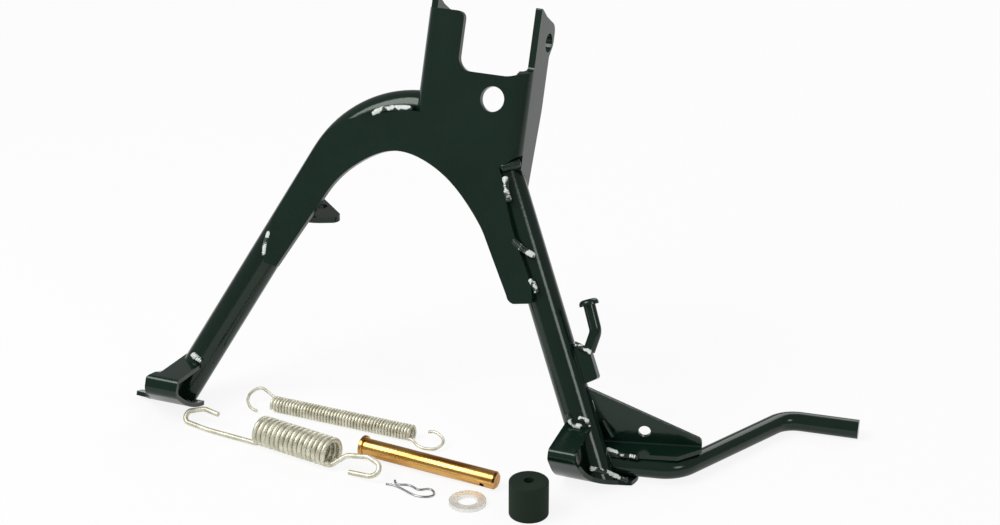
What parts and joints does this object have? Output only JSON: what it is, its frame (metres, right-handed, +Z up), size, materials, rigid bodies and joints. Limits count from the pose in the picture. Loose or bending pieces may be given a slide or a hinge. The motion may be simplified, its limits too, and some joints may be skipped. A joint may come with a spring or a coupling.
{
  "type": "motorcycle centre stand",
  "caption": "Two-legged motorcycle centre stand with folded arch plate, rocker feet and foot lever, leaning at rest beside its springs, pivot pin, clip, washer and buffer.",
  "frame": {"origin": "middle of the pivot bore, halfway between the outer faces of the two ears", "axes": "+X along the pivot bore towards the foot lever, +Z up from the floor the stand rests on, +Y to the rear, the way the legs lean back"},
  "size_m": [0.4794, 0.1956, 0.2822],
  "materials": {
    "black_tube": "gloss black powder coat over steel tube",
    "black_sheet": "gloss black powder coat over folded steel sheet",
    "black_bar": "gloss black powder coat over solid steel bar",
    "black_weld": "rippled weld under gloss black powder coat",
    "spring_zinc": "pale zinc-plated spring wire",
    "pin_gold": "yellow passivated zinc plate",
    "clip_steel": "bright spring steel wire",
    "washer_zinc": "pale zinc plate, satin",
    "buffer_rubber": "matt black moulded rubber"
  },
  "bodies": {
    "root": {"left_leg_tube": "black_tube", "right_leg_tube": "black_tube", "arch_plate": "black_sheet", "left_foot": "black_sheet", "right_foot": "black_sheet", "lever_bar": "black_bar", "lever_gusset": "black_sheet", "spring_hook_bracket": "black_sheet", "spring_hook_post": "black_bar", "stop_tab": "black_sheet", "return_spring_outer": "spring_zinc", "return_spring_inner": "spring_zinc", "pivot_pin": "pin_gold", "pin_clip": "clip_steel", "pin_washer": "washer_zinc", "stop_buffer": "buffer_rubber", "bracket_weld": "black_weld", "flange_weld_1": "black_weld", "flange_weld_2": "black_weld", "fold_weld": "black_weld", "gusset_weld": "black_weld", "left_foot_weld": "black_weld", "lever_sole_weld": "black_weld", "plate_edge_weld": "black_weld", "plate_left_weld": "black_weld", "plate_right_weld_1": "black_weld", "plate_right_weld_2": "black_weld", "plate_right_weld_3": "black_weld", "right_foot_weld_1": "black_weld", "right_foot_weld_2": "black_weld"}
  },
  "joints": []
}
